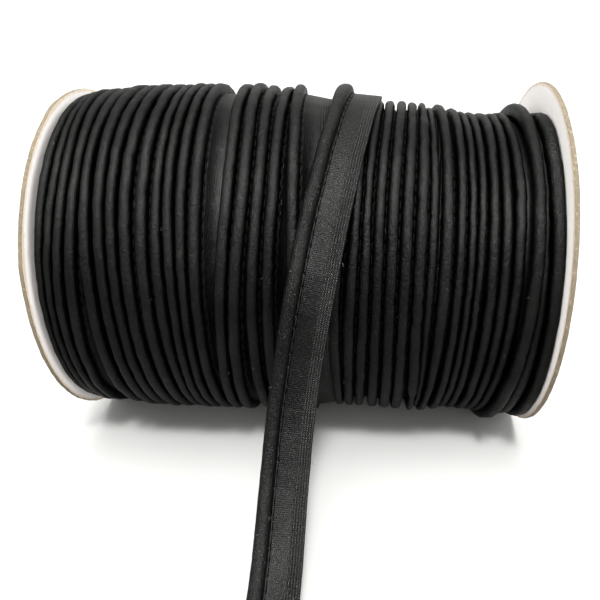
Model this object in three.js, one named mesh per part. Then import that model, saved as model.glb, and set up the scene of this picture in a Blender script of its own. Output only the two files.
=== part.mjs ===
import * as THREE from 'three';

// Roll of piping trim: black corded edging wound on a card spool, one end hanging loose.
// Millimetres. X runs along the spool, -Y is the front where the end hangs, Z is up, the floor is z = 0.

// Driving dimensions

const DISC_RADIUS = 42.5;
const DISC_THICKNESS = 1;
const SPOOL_LENGTH = 115.8;
const FLAT_HALF_WIDTH = 5;
const CLEARANCE = 0.3;

const BEAD_DIAMETER = 3;
const TAPE_WIDTH = 10;
const TAPE_THICKNESS = 0.8;
const VALLEY_DEPTH = 1.15;
const BARE_TAPE_DEPTH = 2.7;

const AXIS_HEIGHT = Math.sqrt( DISC_RADIUS ** 2 - FLAT_HALF_WIDTH ** 2 );
const DISC_SEGMENTS = 72;
const TURN_SEGMENTS = 40;

// The wound body sits a little high in the discs at its left end and sags towards the right one.

const LEFT_RISE = 0.4;
const RIGHT_SAG = 2.5;
const SAG_LENGTH = 45;

// Turns from left to right. top, upper, front and low are the x of the bead's middle at 80, 50, 0 and
// -30 degrees above the front, and crest is the bead's outer radius. The upper layer ends at the last
// turn before the loose end, and the rows after it are the layer below.

const UPPER_LAYER = [
	{ top: - 54.6, upper: - 53.9, front: - 55.1, low: - 55.2, crest: 40.3 },
	{ top: - 52.6, upper: - 51.7, front: - 53.2, low: - 53.4, crest: 41.5 },
	{ top: - 50.4, upper: - 49.2, front: - 50.6, low: - 51.1, crest: 42.0 },
	{ top: - 47.6, upper: - 46.6, front: - 47.7, low: - 48.8, crest: 42.1 },
	{ top: - 44.5, upper: - 44.1, front: - 43.0, low: - 43.2, crest: 42.3 },
	{ top: - 41.1, upper: - 40.8, front: - 39.4, low: - 39.2, crest: 42.9 },
	{ top: - 38.0, upper: - 38.0, front: - 36.7, low: - 36.4, crest: 42.8 },
	{ top: - 34.9, upper: - 34.8, front: - 33.7, low: - 33.2, crest: 43.0 },
	{ top: - 31.5, upper: - 31.2, front: - 30.3, low: - 29.9, crest: 42.9 },
	{ top: - 28.3, upper: - 28.0, front: - 27.1, low: - 26.7, crest: 42.8 },
	{ top: - 25.8, upper: - 25.5, front: - 24.3, low: - 24.3, crest: 43.0 },
	{ top: - 23.2, upper: - 22.7, front: - 22.0, low: - 22.0, crest: 42.9 },
	{ top: - 20.3, upper: - 19.6, front: - 19.3, low: - 19.2, crest: 42.9, bareTape: true },
	{ top: - 13.5, upper: - 12.6, front: - 14.6, low: - 15.8, crest: 42.7 },
	{ top: - 10.2, upper: - 9.3, front: - 11.6, low: - 12.6, crest: 42.9 },
	{ top: - 7.0, upper: - 6.3, front: - 7.7, low: - 7.9, crest: 42.2 },
	{ top: - 3.4, upper: - 3.2, front: - 4.2, low: - 4.6, crest: 41.9 },
	{ top: - 0.1, upper: 0.8, front: 1.9, low: 2.3, crest: 42.4, bareTape: true },
];

const LOWER_LAYER = [
	{ top: 11.8, upper: 11.4, front: 9.9, low: 10.4, crest: 39.3 },
	{ top: 15.2, upper: 14.7, front: 13.2, low: 13.1, crest: 39.4 },
	{ top: 18.2, upper: 16.9, front: 16.2, low: 15.8, crest: 39.4 },
	{ top: 20.8, upper: 19.5, front: 19.0, low: 18.9, crest: 39.6 },
	{ top: 23.6, upper: 22.3, front: 21.8, low: 21.9, crest: 39.8 },
	{ top: 26.3, upper: 25.3, front: 24.7, low: 24.9, crest: 39.5 },
	{ top: 28.9, upper: 28.2, front: 27.7, low: 28.3, crest: 39.6 },
	{ top: 30.9, upper: 30.7, front: 30.0, low: 30.0, crest: 38.5 },
	{ top: 33.3, upper: 33.4, front: 32.7, low: 31.9, crest: 39.5 },
	{ top: 36.5, upper: 36.4, front: 35.6, low: 34.9, crest: 38.7 },
	{ top: 38.8, upper: 38.7, front: 37.9, low: 37.1, crest: 38.0 },
	{ top: 40.9, upper: 40.8, front: 39.8, low: 39.2, crest: 37.9 },
	{ top: 43.5, upper: 43.2, front: 42.7, low: 41.9, crest: 38.0 },
	{ top: 46.0, upper: 45.8, front: 45.2, low: 44.2, crest: 37.9 },
	{ top: 48.3, upper: 48.6, front: 47.6, low: 46.4, crest: 38.0 },
	{ top: 50.9, upper: 51.7, front: 50.6, low: 48.9, crest: 39.6 },
	{ top: 54.3, upper: 54.6, front: 53.4, low: 52.4, crest: 38.2 },
	{ top: 55.8, upper: 55.8, front: 55.4, low: 55.2, crest: 36.9 },
];

// Angles of the table's columns, above the front, and the two at the back that close each turn.

const COLUMN_ANGLES = [ 80, 50, 0, - 30, - 115, - 195 ];

// The loose end lies over the top of the roll, leaves it, and swings forward down to the floor.
// x is the middle of the tape.

const LAID_PATH = [
	{ angle: 125, x: 14.6 },
	{ angle: 115, x: 14.4 },
	{ angle: 105, x: 14.1 },
	{ angle: 95, x: 13.8 },
	{ angle: 85, x: 13.3 },
	{ angle: 75, x: 12.6 },
	{ angle: 65, x: 11.7 },
	{ angle: 55, x: 10.5 },
];
const LAID_RADIUS = 40.2;

const FREE_PATH = [
	{ x: 9.4, y: - 28.8, z: 70.9 },
	{ x: 8.3, y: - 33.8, z: 66.8 },
	{ x: 7.2, y: - 38.8, z: 61.9 },
	{ x: 6.2, y: - 42.6, z: 57 },
	{ x: 5.1, y: - 45.4, z: 51.4 },
	{ x: 4.1, y: - 47.3, z: 45.2 },
	{ x: 2.8, y: - 49.7, z: 37 },
	{ x: 1.6, y: - 54.3, z: 27.5 },
	{ x: 0.9, y: - 63, z: 17 },
	{ x: 0.6, y: - 75, z: 7.5 },
	{ x: 0.3, y: - 86, z: 2.4 },
	{ x: 0, y: - 97, z: 1 },
];
const LOOSE_END_STEP = 3.2;

// Materials

const satin = new THREE.MeshStandardMaterial( { color: 0x121312, roughness: 0.55, metalness: 0 } );
const whiteCard = new THREE.MeshStandardMaterial( { color: 0xe1dad7, roughness: 0.85, metalness: 0 } );

// Geometry helpers

const radians = THREE.MathUtils.degToRad;

// A closed cubic through values at rising angles, in degrees.

function aroundTheRoll( angles, values, angle ) {

	const count = angles.length;
	const knot = ( i ) => {

		const lap = Math.floor( i / count );
		return { a: angles[ i - lap * count ] + 360 * lap, v: values[ i - lap * count ] };

	};

	const wrapped = angles[ 0 ] + THREE.MathUtils.euclideanModulo( angle - angles[ 0 ], 360 );
	let i = 0;
	while ( knot( i + 1 ).a <= wrapped ) i ++;

	const [ before, from, to, after ] = [ knot( i - 1 ), knot( i ), knot( i + 1 ), knot( i + 2 ) ];
	const span = to.a - from.a;
	const t = ( wrapped - from.a ) / span;
	const startSlope = span * ( to.v - before.v ) / ( to.a - before.a );
	const endSlope = span * ( after.v - from.v ) / ( after.a - from.a );

	return from.v * ( 1 + 2 * t ) * ( 1 - t ) ** 2 + startSlope * t * ( 1 - t ) ** 2
		+ to.v * t * t * ( 3 - 2 * t ) + endSlope * t * t * ( t - 1 );

}

// Skin over rings of points that all have the same count, with a cap on each end.

function skin( name, rings, capFaces, material ) {

	const count = rings[ 0 ].length;
	const position = rings.flat().flatMap( ( p ) => [ p.x, p.y, p.z ] );
	const index = [];

	for ( let r = 0; r + 1 < rings.length; r ++ ) {

		for ( let k = 0; k < count; k ++ ) {

			const a = r * count + k;
			const b = r * count + ( k + 1 ) % count;
			index.push( a, b, b + count, a, b + count, a + count );

		}

	}

	const last = ( rings.length - 1 ) * count;
	for ( const [ a, b, c ] of capFaces ) index.push( a, c, b, last + a, last + b, last + c );

	const geometry = new THREE.BufferGeometry();
	geometry.setAttribute( 'position', new THREE.Float32BufferAttribute( position, 3 ) );
	geometry.setIndex( index );
	geometry.computeVertexNormals();

	const mesh = new THREE.Mesh( geometry, material );
	mesh.name = name;
	return mesh;

}

// Spool discs

function disc( name, middleX ) {

	const flat = Math.asin( FLAT_HALF_WIDTH / DISC_RADIUS );
	const outline = new THREE.Shape();
	outline.absarc( 0, 0, DISC_RADIUS, flat - Math.PI / 2, 1.5 * Math.PI - flat, false );

	const geometry = new THREE.ExtrudeGeometry( outline, {
		depth: DISC_THICKNESS,
		bevelEnabled: false,
		curveSegments: DISC_SEGMENTS
	} );

	// the outline was drawn in the disc's own plane, and is turned to face along X
	geometry.applyMatrix4( new THREE.Matrix4().makeBasis(
		new THREE.Vector3( 0, 1, 0 ),
		new THREE.Vector3( 0, 0, 1 ),
		new THREE.Vector3( 1, 0, 0 )
	) );
	geometry.translate( middleX - DISC_THICKNESS / 2, 0, AXIS_HEIGHT );

	const mesh = new THREE.Mesh( geometry, whiteCard );
	mesh.name = name;
	return mesh;

}

// Wound turns

function sag( x ) {

	return THREE.MathUtils.lerp( - LEFT_RISE, RIGHT_SAG, THREE.MathUtils.clamp( x / SAG_LENGTH, 0, 1 ) );

}

function onRoll( x, radius, angle ) {

	const z = AXIS_HEIGHT - sag( x ) + radius * Math.sin( radians( angle ) );
	return new THREE.Vector3( x, - radius * Math.cos( radians( angle ) ), Math.max( z, CLEARANCE ) );

}

// The x of a turn's bead at an angle. At the back it lies midway between its places at the front.

function turnX( turn, angle ) {

	const back = ( turn.top + turn.low ) / 2;
	const values = [ turn.top, turn.upper, turn.front, turn.low, back, back ];
	return aroundTheRoll( [ ...COLUMN_ANGLES ].reverse(), values.reverse(), angle );

}

// The wound body's outline across the turns at one angle: for each bead a rounded top, and between
// beads a valley, or the bare tape where the next bead lies further off.

function outlineAt( angle ) {

	const turns = [ ...UPPER_LAYER, ...LOWER_LAYER ];
	const ends = SPOOL_LENGTH / 2 - DISC_THICKNESS - CLEARANCE;
	const beads = turns.map( ( turn ) => ( { ...turn, x: turnX( turn, angle ) } ) );
	const outline = [ { x: - ends, radius: beads[ 0 ].crest - VALLEY_DEPTH } ];

	beads.forEach( ( bead, i ) => {

		const before = i > 0 ? beads[ i - 1 ].x : - ends - BEAD_DIAMETER / 2;
		const after = i + 1 < beads.length ? beads[ i + 1 ].x : ends + BEAD_DIAMETER / 2;
		const half = Math.min( BEAD_DIAMETER, bead.x - before, after - bead.x ) / 4;
		outline.push( { x: bead.x - half, radius: bead.crest } );
		outline.push( { x: bead.x + half, radius: bead.crest } );

		if ( i + 1 === beads.length ) return;

		if ( bead.bareTape ) {

			const level = bead.crest - BARE_TAPE_DEPTH;
			outline.push( { x: bead.x + BEAD_DIAMETER / 2, radius: level } );
			outline.push( { x: after - BEAD_DIAMETER / 2, radius: Math.min( level, beads[ i + 1 ].crest ) } );

		} else {

			const lower = Math.min( bead.crest, beads[ i + 1 ].crest );
			outline.push( { x: ( bead.x + after ) / 2, radius: lower - VALLEY_DEPTH } );

		}

	} );

	outline.push( { x: ends, radius: beads[ beads.length - 1 ].crest - VALLEY_DEPTH } );
	return outline;

}

function winding() {

	const angles = Array.from( { length: TURN_SEGMENTS }, ( _, k ) => 90 - 360 * k / TURN_SEGMENTS );
	const outlines = angles.map( outlineAt );
	const rings = outlines[ 0 ].map( ( _, column ) => angles.map( ( angle, k ) => {

		const { x, radius } = outlines[ k ][ column ];
		return onRoll( x, radius, angle );

	} ) );

	// each end is a fan of faces from the first point of its ring
	const fan = Array.from( { length: TURN_SEGMENTS - 2 }, ( _, k ) => [ 0, k + 1, k + 2 ] );
	return skin( 'winding', rings, fan, satin );

}

// Loose end: the corded bead on one edge of a flat tape, along a path

function tapeSection() {

	const edge = TAPE_WIDTH / 2;
	const half = TAPE_THICKNESS / 2;
	const beadRadius = BEAD_DIAMETER / 2;
	const beadMiddle = new THREE.Vector2( beadRadius - edge, beadRadius - half );
	const section = [
		new THREE.Vector2( edge, - half ),
		new THREE.Vector2( edge, half ),
		new THREE.Vector2( BEAD_DIAMETER - edge + 0.1, half )
	];

	for ( const angle of [ 0, 50, 100, 150, 200, 250 ] ) {

		const spoke = new THREE.Vector2( Math.cos( radians( angle ) ), Math.sin( radians( angle ) ) );
		section.push( beadMiddle.clone().addScaledVector( spoke, beadRadius ) );

	}

	section.push( new THREE.Vector2( beadMiddle.x + 0.4, - half ) );
	return section;

}

function looseEnd() {

	const laid = LAID_PATH.map( ( { angle, x } ) => {

		const a = radians( angle );
		return new THREE.Vector3( x, - LAID_RADIUS * Math.cos( a ), AXIS_HEIGHT + LAID_RADIUS * Math.sin( a ) );

	} );
	const free = FREE_PATH.map( ( { x, y, z } ) => new THREE.Vector3( x, y, z ) );
	const path = new THREE.CatmullRomCurve3( [ ...laid, ...free ], false, 'centripetal' );
	const steps = Math.round( path.getLength() / LOOSE_END_STEP );
	const section = tapeSection();
	const rings = [];

	for ( let s = 0; s <= steps; s ++ ) {

		const middle = path.getPointAt( s / steps );
		const along = path.getTangentAt( s / steps );
		const across = new THREE.Vector3( 1, 0, 0 ).projectOnPlane( along ).normalize();
		const outward = new THREE.Vector3().crossVectors( along, across );
		rings.push( section.map( ( p ) => middle.clone()
			.addScaledVector( across, p.x )
			.addScaledVector( outward, p.y ) ) );

	}

	return skin( 'loose_end', rings, THREE.ShapeUtils.triangulateShape( section, [] ), satin.clone() );

}

// Roll

const discX = ( SPOOL_LENGTH - DISC_THICKNESS ) / 2;
const roll = new THREE.Group();
roll.name = 'roll_of_piping_trim';
roll.add(
	winding(),
	disc( 'disc_left', - discX ),
	disc( 'disc_right', discX ),
	looseEnd()
);

export default roll;
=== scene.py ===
import math
from typing import NamedTuple

import bmesh
import bpy
import numpy as np
from mathutils import Matrix, Vector


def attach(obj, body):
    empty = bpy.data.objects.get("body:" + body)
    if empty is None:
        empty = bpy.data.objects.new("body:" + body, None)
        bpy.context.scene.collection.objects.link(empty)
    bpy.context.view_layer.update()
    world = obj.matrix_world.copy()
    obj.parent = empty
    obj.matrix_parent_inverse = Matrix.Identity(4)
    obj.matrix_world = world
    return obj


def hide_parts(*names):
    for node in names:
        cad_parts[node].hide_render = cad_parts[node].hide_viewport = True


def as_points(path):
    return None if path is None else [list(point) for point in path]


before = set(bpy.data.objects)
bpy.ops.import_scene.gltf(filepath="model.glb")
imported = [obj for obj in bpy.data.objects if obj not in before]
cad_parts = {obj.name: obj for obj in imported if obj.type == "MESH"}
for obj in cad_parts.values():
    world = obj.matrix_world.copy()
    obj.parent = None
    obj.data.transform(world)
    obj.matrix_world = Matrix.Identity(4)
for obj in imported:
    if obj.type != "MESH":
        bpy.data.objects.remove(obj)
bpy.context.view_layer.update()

bl_info = {
    "name": "Roll of piping trim",
    "version": (1, 0, 0),
    "blender": (4, 5, 0),
    "location": "View3D > Sidebar > Piping",
    "description": "Makes a roll of black corded piping on a card spool, with one end hanging loose",
    "category": "Object",
}

MM = 0.001

DISC_RADIUS = 42.5
DISC_FLAT_HALF = 5.0
AXIS_HEIGHT = math.sqrt(DISC_RADIUS ** 2 - DISC_FLAT_HALF ** 2)

# Settings

class TrimSettings(bpy.types.PropertyGroup):
    """Sizes and colours of the corded tape."""

    bead_diameter: bpy.props.FloatProperty(
        name="Bead Diameter", description="Thickness of the covered cord",
        default=3.0 * MM, unit="LENGTH")
    bead_share: bpy.props.FloatProperty(
        name="Bead Share", description="How much of the room between two turns the bead takes up",
        default=0.86)
    tape_width: bpy.props.FloatProperty(
        name="Tape Width", description="Whole width, from the bead to the tape's free edge",
        default=10.0 * MM, unit="LENGTH")
    tape_thickness: bpy.props.FloatProperty(
        name="Tape Thickness", description="Two layers of cloth, sewn flat",
        default=0.7 * MM, unit="LENGTH")
    tuck: bpy.props.FloatProperty(
        name="Tuck", description="How steeply a wound tape slopes under the next turns",
        default=0.2)
    stitch_pitch: bpy.props.FloatProperty(
        name="Stitch Pitch", description="From one needle hole of the seam to the next",
        default=2.8 * MM, unit="LENGTH")
    thread_diameter: bpy.props.FloatProperty(
        name="Thread Diameter", description="Thickness of the sewing thread",
        default=0.34 * MM, unit="LENGTH")
    cloth_colour: bpy.props.FloatVectorProperty(
        name="Cloth Colour", description="Colour of the satin",
        subtype="COLOR", default=(0.0080, 0.0081, 0.0080))
    thread_colour: bpy.props.FloatVectorProperty(
        name="Thread Colour", description="Colour of the sewing thread",
        subtype="COLOR", default=(0.0045, 0.0045, 0.0045))


class SpoolSettings(bpy.types.PropertyGroup):
    """Sizes and colours of the card spool."""

    disc_radius: bpy.props.FloatProperty(
        name="Disc Radius", description="Radius of each end disc",
        default=DISC_RADIUS * MM, unit="LENGTH")
    disc_thickness: bpy.props.FloatProperty(
        name="Disc Thickness", description="Thickness of the card",
        default=1.0 * MM, unit="LENGTH")
    spool_length: bpy.props.FloatProperty(
        name="Spool Length", description="Between the outer faces of the discs",
        default=115.8 * MM, unit="LENGTH")
    # The outer faces' board is darker than the paper as painted shade, to offset the stronger light that
    # falls on those faces.
    board_colour_with_painted_shade: bpy.props.FloatVectorProperty(
        name="Board Colour", description="Colour of the plain board with painted shade on the discs' outer faces",
        subtype="COLOR", default=(0.47, 0.445, 0.41))
    paper_colour: bpy.props.FloatVectorProperty(
        name="Paper Colour", description="Colour of the paper on the discs' inner faces",
        subtype="COLOR", default=(0.94, 0.892, 0.884))
    card_colour: bpy.props.FloatVectorProperty(
        name="Card Colour", description="Colour of the bare card at the discs' rims",
        subtype="COLOR", default=(0.145, 0.118, 0.083))


class StageSettings(bpy.types.PropertyGroup):
    """Floor and light."""

    floor_colour: bpy.props.FloatVectorProperty(
        name="Floor Colour", description="Colour of the floor",
        subtype="COLOR", default=(0.33, 0.326, 0.327))
    room_light: bpy.props.FloatProperty(
        name="Room Light", description="Strength of the even light from all round",
        default=0.20)
    soft_light: bpy.props.FloatProperty(
        name="Soft Light", description="Strength of all the soft boxes together",
        default=1.0)


# Soft boxes of the studio: where each one's middle is, how narrow it is and how strong. The first one is
# compact, and gives the shadow in front its sharp edge.
SOFT_BOXES = [
    {"towards": (0.06, -0.43, 0.90), "narrowness": 400.0, "strength": 340.0},
    {"towards": (-0.06, -0.10, 0.99), "narrowness": 22.0, "strength": 15.0},
    {"towards": (0.08, -0.85, 0.53), "narrowness": 45.0, "strength": 6.0},
    {"towards": (0.88, -0.16, 0.42), "narrowness": 10.0, "strength": 5.6},
    {"towards": (-0.88, -0.10, 0.42), "narrowness": 10.0, "strength": 3.6},
    {"towards": (0.05, 0.82, 0.57), "narrowness": 6.0, "strength": 2.4},
]
SKY_COLOUR = (0.985, 1.0, 0.970, 1.0)
# How bright the plain backdrop is. Only the camera sees it.
BACKDROP = 1.1

# Turns from left to right, in millimetres. top, upper, front and low are the x of the bead's middle at
# 80, 50, 0 and -30 degrees above the front, and crest is the bead's outer radius.

class Turn(NamedTuple):
    top: float
    upper: float
    front: float
    low: float
    crest: float


UPPER_LAYER = [
    Turn(top=-54.5, upper=-54.2, front=-54.8, low=-55.1, crest=41.1),
    Turn(top=-52.3, upper=-51.6, front=-52.9, low=-53.2, crest=41.5),
    Turn(top=-50.4, upper=-49.2, front=-50.6, low=-51.1, crest=42.0),
    Turn(top=-47.6, upper=-46.6, front=-47.7, low=-48.8, crest=42.1),
    Turn(top=-44.5, upper=-44.1, front=-43.0, low=-43.2, crest=42.3),
    Turn(top=-41.1, upper=-40.8, front=-39.4, low=-39.2, crest=42.9),
    Turn(top=-38.0, upper=-38.0, front=-36.7, low=-36.4, crest=42.8),
    Turn(top=-34.9, upper=-34.8, front=-33.7, low=-33.2, crest=43.0),
    Turn(top=-31.5, upper=-31.2, front=-30.3, low=-29.9, crest=42.9),
    Turn(top=-28.3, upper=-28.0, front=-27.1, low=-26.7, crest=42.8),
    Turn(top=-25.8, upper=-25.5, front=-24.3, low=-24.3, crest=43.0),
    Turn(top=-23.2, upper=-22.7, front=-22.0, low=-22.0, crest=42.9),
    Turn(top=-20.3, upper=-19.6, front=-19.3, low=-19.2, crest=42.9),
    Turn(top=-13.5, upper=-12.6, front=-14.6, low=-15.8, crest=42.7),
    Turn(top=-10.2, upper=-9.3, front=-11.6, low=-12.6, crest=42.9),
    Turn(top=-7.0, upper=-6.3, front=-7.7, low=-7.9, crest=42.2),
    Turn(top=-3.4, upper=-3.2, front=-4.2, low=-4.6, crest=41.9),
    Turn(top=-0.1, upper=0.8, front=1.9, low=2.3, crest=42.4),
]
LOWER_LAYER = [
    Turn(top=11.8, upper=11.4, front=9.9, low=10.4, crest=39.3),
    Turn(top=15.2, upper=14.7, front=13.2, low=13.1, crest=39.4),
    Turn(top=18.2, upper=16.9, front=16.2, low=15.8, crest=39.4),
    Turn(top=20.8, upper=19.5, front=19.0, low=18.9, crest=39.6),
    Turn(top=23.6, upper=22.3, front=21.8, low=21.9, crest=39.8),
    Turn(top=26.3, upper=25.3, front=24.7, low=24.9, crest=39.5),
    Turn(top=28.9, upper=28.2, front=27.7, low=28.3, crest=39.6),
    Turn(top=30.9, upper=30.7, front=30.0, low=30.0, crest=38.5),
    Turn(top=33.3, upper=33.4, front=32.7, low=31.9, crest=39.5),
    Turn(top=36.5, upper=36.4, front=35.6, low=34.9, crest=38.7),
    Turn(top=38.8, upper=38.7, front=37.9, low=37.1, crest=38.0),
    Turn(top=40.9, upper=40.8, front=39.8, low=39.2, crest=37.9),
    Turn(top=43.5, upper=43.2, front=42.7, low=41.9, crest=38.0),
    Turn(top=46.0, upper=45.8, front=45.2, low=44.2, crest=37.9),
    Turn(top=48.3, upper=48.6, front=47.6, low=46.4, crest=38.0),
    Turn(top=51.8, upper=51.9, front=50.6, low=48.9, crest=40.1),
    Turn(top=53.6, upper=53.5, front=53.2, low=52.4, crest=38.0),
    Turn(top=55.4, upper=55.5, front=55.7, low=55.7, crest=39.4),
]
COLUMN_ANGLES = (80, 50, 0, -30)

# How far the wound body hangs below the discs' axis, at places along the spool.
SAG = [
    {"x": 0, "drop": -0.4},
    {"x": 45, "drop": 2.5},
    {"x": 52, "drop": 2.4},
    {"x": 57, "drop": 1.4},
]
# How far the beads stand out more below than above, at places along the spool.
SWELL = [
    {"x": -20, "below": 0.2},
    {"x": -5, "below": 0.8},
    {"x": 7, "below": 1.7},
    {"x": 13, "below": 1.4},
    {"x": 20, "below": 0.9},
    {"x": 48, "below": 1.2},
    {"x": 52, "below": 2.0},
    {"x": 57, "below": 1.6},
]
# How a layer's cord comes up from inside the roll: angles before the first turn, and depths.
UPPER_START = [{"before": 100, "depth": 3.6}, {"before": 60, "depth": 1.0}]
LOWER_START = [{"before": 60, "depth": 4.4}, {"before": 14, "depth": 1.9}]
# How the lower layer's cord goes back inside after its last turn: angles, shifts in x, and depths.
LOWER_END = [{"after": 90, "shift": -0.6, "depth": 0.8}, {"after": 140, "shift": -1.0, "depth": 3.6}]
STEPS_PER_TURN = 150
# The least height of the wound cord over the floor.
FLOOR_GAP = 0.3

# The x of the right disc's inner face, and how far a bead's middle and a tape's edge keep from it.
INNER_FACE = 56.9
BEAD_CLEARANCE = 0.15
TAPE_CLEARANCE = 0.35
# The widest that a bead gets beside a disc, as a multiple of the room up to the disc.
ROOM_TO_WIDTH = 2.4
# How much of its diameter a wound bead keeps: the least, and the most. Beyond END_X it may keep it all.
LEAST_WIDTH = 0.5
MOST_WIDTH = 0.86
END_X = 54.9
# A lap whose crest lies further down than this leaves its room to the lap above it.
STEP_DOWN = 1.1
# A tape falls by this more than the next lap's crest does, over at least this run, and no steeper than
# this.
EXTRA_FALL = 0.55
LEAST_RUN = 1.5
STEEPEST = 1.2

# How far the cloth wavers from its route, and the scale of the noise that it wavers by.
WOUND_WAVER = 0.62
LOOSE_WAVER = 0.16
WAVER_SCALE = 300.0

# The winding's dark body: how far it lies below the beads' undersides, where it ends in x, and its sides.
BASE_DEPTH = 0.95
BASE_END = 56.5
BASE_SIDES = 96

# Where the loose end's bead swells on its way over the roll: how far along, over what length, how much.
BULGE = {"along": 22.0, "length": 9.0, "widening": 0.3}

# The loose end's route, at the middle of the tape: laid on the roll, then free down to the floor.
LAID_PATH = [
    {"angle": 125, "x": 14.6},
    {"angle": 115, "x": 14.4},
    {"angle": 105, "x": 14.1},
    {"angle": 95, "x": 13.8},
    {"angle": 85, "x": 13.3},
    {"angle": 75, "x": 12.6},
    {"angle": 65, "x": 11.7},
    {"angle": 55, "x": 10.5},
]
LAID_RADIUS = 40.2
# How many degrees the wound cord goes on under the start of the loose end.
LAP_UNDER = 2.6
# How far the wound cord's end lies below the loose end there, so that it doesn't come up through it.
LAP_SINK = 0.09
# How much of its diameter the wound bead keeps there, and over how many degrees the wound cord takes on
# that width and the loose end's waver. Its tape takes on the laid tuck over more degrees, and has all of
# it a few degrees before the end.
JOIN_WIDTH = 0.97
JOIN_FADE = 60
TUCK_FADE = {"before": 8, "over": 110}
FREE_PATH = [
    {"x": 9.4, "y": -28.8, "z": 70.9},
    {"x": 8.3, "y": -33.8, "z": 66.8},
    {"x": 7.2, "y": -38.8, "z": 61.9},
    {"x": 6.2, "y": -42.6, "z": 57.0},
    {"x": 5.1, "y": -45.4, "z": 51.4},
    {"x": 4.1, "y": -47.3, "z": 45.2},
    {"x": 2.8, "y": -49.7, "z": 37.0},
    {"x": 1.6, "y": -54.3, "z": 27.5},
    {"x": 0.9, "y": -63.0, "z": 17.0},
    {"x": 0.6, "y": -75.0, "z": 7.5},
    {"x": 0.3, "y": -86.0, "z": 2.4},
    {"x": 0.0, "y": -97.0, "z": 1.0},
]
LOOSE_END_STEP = 0.5
# How steeply the laid tape slopes down to its free edge, and where along it that begins and ends to fade.
LAID_TUCK = 0.11
LAID_TUCK_FADE = (24.0, 42.0)

DISC_SIDES = 288
# Where the discs' card is knocked out of round: offset is outwards, and angle and width are in degrees.
KINKS = [
    {"disc": "disc_left", "angle": 19, "offset": 0.5, "width": 9},
    {"disc": "disc_left", "angle": 75, "offset": 0.35, "width": 5},
    {"disc": "disc_right", "angle": 40, "offset": 0.3, "width": 14},
]

# The camera: place and target in millimetres, roll in degrees, and lens in millimetres of a 36 mm sensor.
CAMERA_PLACE = (16.8, -154.5, 111.0)
CAMERA_TARGET = (-2.2, 0.0, 20.6)
CAMERA_ROLL = -2.07
CAMERA_LENS = 37.1
CAMERA_SHIFT_Y = 0.0333


# Nodes

class Wire:
    """One output of a node. Arithmetic on it adds the Math nodes of the sum."""

    def __init__(self, tree, socket):
        self.tree = tree
        self.socket = socket

    def combine(self, operation, *values):
        vector = any(isinstance(v, Wire) and v.socket.type in ("VECTOR", "RGBA") for v in values)
        kind = "ShaderNodeVectorMath" if vector else "ShaderNodeMath"
        return add(self.tree, kind, {"operation": operation}, dict(enumerate(values)))

    def __add__(self, other):
        return self.combine("ADD", self, other)

    __radd__ = __add__

    def __sub__(self, other):
        return self.combine("SUBTRACT", self, other)

    def __rsub__(self, other):
        return self.combine("SUBTRACT", other, self)

    def __mul__(self, other):
        return self.combine("MULTIPLY", self, other)

    __rmul__ = __mul__

    def __truediv__(self, other):
        return self.combine("DIVIDE", self, other)

    def __pow__(self, other):
        return self.combine("POWER", self, other)

    def __neg__(self):
        return self * -1.0

    def at_least(self, other):
        return self.combine("MAXIMUM", self, other)

    def at_most(self, other):
        return self.combine("MINIMUM", self, other)

    def sine(self):
        return self.combine("SINE", self)

    def scaled(self, factor):
        """This vector times a number."""
        return add(self.tree, "ShaderNodeVectorMath", {"operation": "SCALE"},
                   {"Vector": self, "Scale": factor})

    def part(self, axis):
        return add(self.tree, "ShaderNodeSeparateXYZ", {}, {"Vector": self}, axis)


def add(tree, kind, settings, values, output=0):
    """A node of that type: its settings are made first, then its inputs are set or linked."""
    node = tree.nodes.new(kind)
    for name, value in settings.items():
        setattr(node, name, value)
    for key, value in values.items():
        if isinstance(value, Wire):
            tree.links.new(value.socket, node.inputs[key])
        else:
            node.inputs[key].default_value = value
    return Wire(tree, node.outputs[output]) if len(node.outputs) else None


def combine_xyz(tree, x, y, z):
    return add(tree, "ShaderNodeCombineXYZ", {}, {"X": x, "Y": y, "Z": z})


def mix_colours(tree, factor, first, second):
    return add(tree, "ShaderNodeMix", {"data_type": "RGBA"}, {0: factor, 6: first, 7: second}, 2)


def noise(tree, place, scale, detail=2.0, roughness=0.5, output=0):
    return add(tree, "ShaderNodeTexNoise", {},
               {"Vector": place, "Scale": scale, "Detail": detail, "Roughness": roughness}, output)


def ramp(tree, factor, low, high):
    """0 below low, 1 above high, smooth between."""
    return add(tree, "ShaderNodeMapRange", {"interpolation_type": "SMOOTHSTEP"},
               {"Value": factor, "From Min": low, "From Max": high, "To Min": 0.0, "To Max": 1.0})


def opaque(colour, share=1.0):
    """The colour, made darker or lighter by share, with full alpha."""
    return (*(c * share for c in colour), 1.0)


def object_place(tree):
    return add(tree, "ShaderNodeTexCoord", {}, {}, 3)


def new_material(name):
    material = bpy.data.materials.new(name)
    material.use_nodes = True
    material.node_tree.nodes.clear()
    return material, material.node_tree


def finish_material(tree, colour, roughness, height, bump_distance, **constants):
    """Principled surface. The constants are set on the shader's own sockets."""
    bump = add(tree, "ShaderNodeBump", {}, {"Strength": 1.0, "Distance": bump_distance, "Height": height})
    names = {name.replace("_", " ").title(): value for name, value in constants.items()}
    names = {name.replace("Ior", "IOR"): value for name, value in names.items()}
    surface = add(tree, "ShaderNodeBsdfPrincipled", {},
                  {"Base Color": colour, "Roughness": roughness, "Normal": bump, **names})
    add(tree, "ShaderNodeOutputMaterial", {}, {"Surface": surface})


# Geometry trees

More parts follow.
